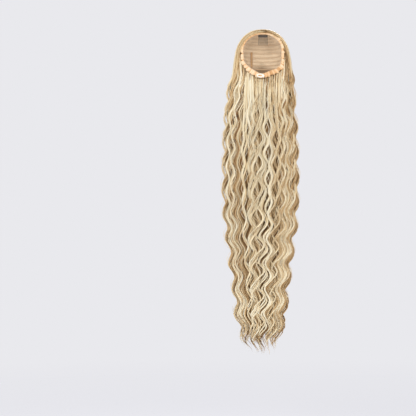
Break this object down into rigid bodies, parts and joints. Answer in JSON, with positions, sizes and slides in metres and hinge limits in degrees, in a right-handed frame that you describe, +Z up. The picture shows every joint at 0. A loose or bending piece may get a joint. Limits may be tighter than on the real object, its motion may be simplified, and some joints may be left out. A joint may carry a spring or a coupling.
{
  "type": "ponytail hairpiece",
  "caption": "Clip-on ponytail: a net cap with a gathered drawstring opening and a small comb, and long waved hair that falls from it.",
  "frame": {"origin": "centre of the cap's opening, where the piece sits over a bun", "axes": "+Z up along the hanging hair towards the crown, -Y out of the opening, +Y the hair's outer side, +X to the right as seen from the opening"},
  "size_m": [0.1813, 0.0926, 0.7585],
  "materials": {
    "net": "fine beige net, matte",
    "track": "sewn weft, stitched, brown-beige",
    "ribbon": "woven tape, tan",
    "casing": "gathered peach lining cloth, soft sheen",
    "cord": "soft white cord",
    "comb": "dark brown translucent plastic",
    "hair": "waved fibre hair, cream to honey blonde, silky"
  },
  "bodies": {
    "root": {"net_cap": "net", "cap_ribbon": "ribbon", "drawstring_casing": "casing", "drawstring_knot": "cord", "comb": "comb", "crown_hair": "hair", "back_hair": "hair", "front_hair": "hair", "weft_track_1": "track", "weft_track_2": "track", "weft_track_3": "track", "weft_track_4": "track", "weft_track_5": "track", "weft_track_6": "track", "weft_track_7": "track"}
  },
  "joints": []
}
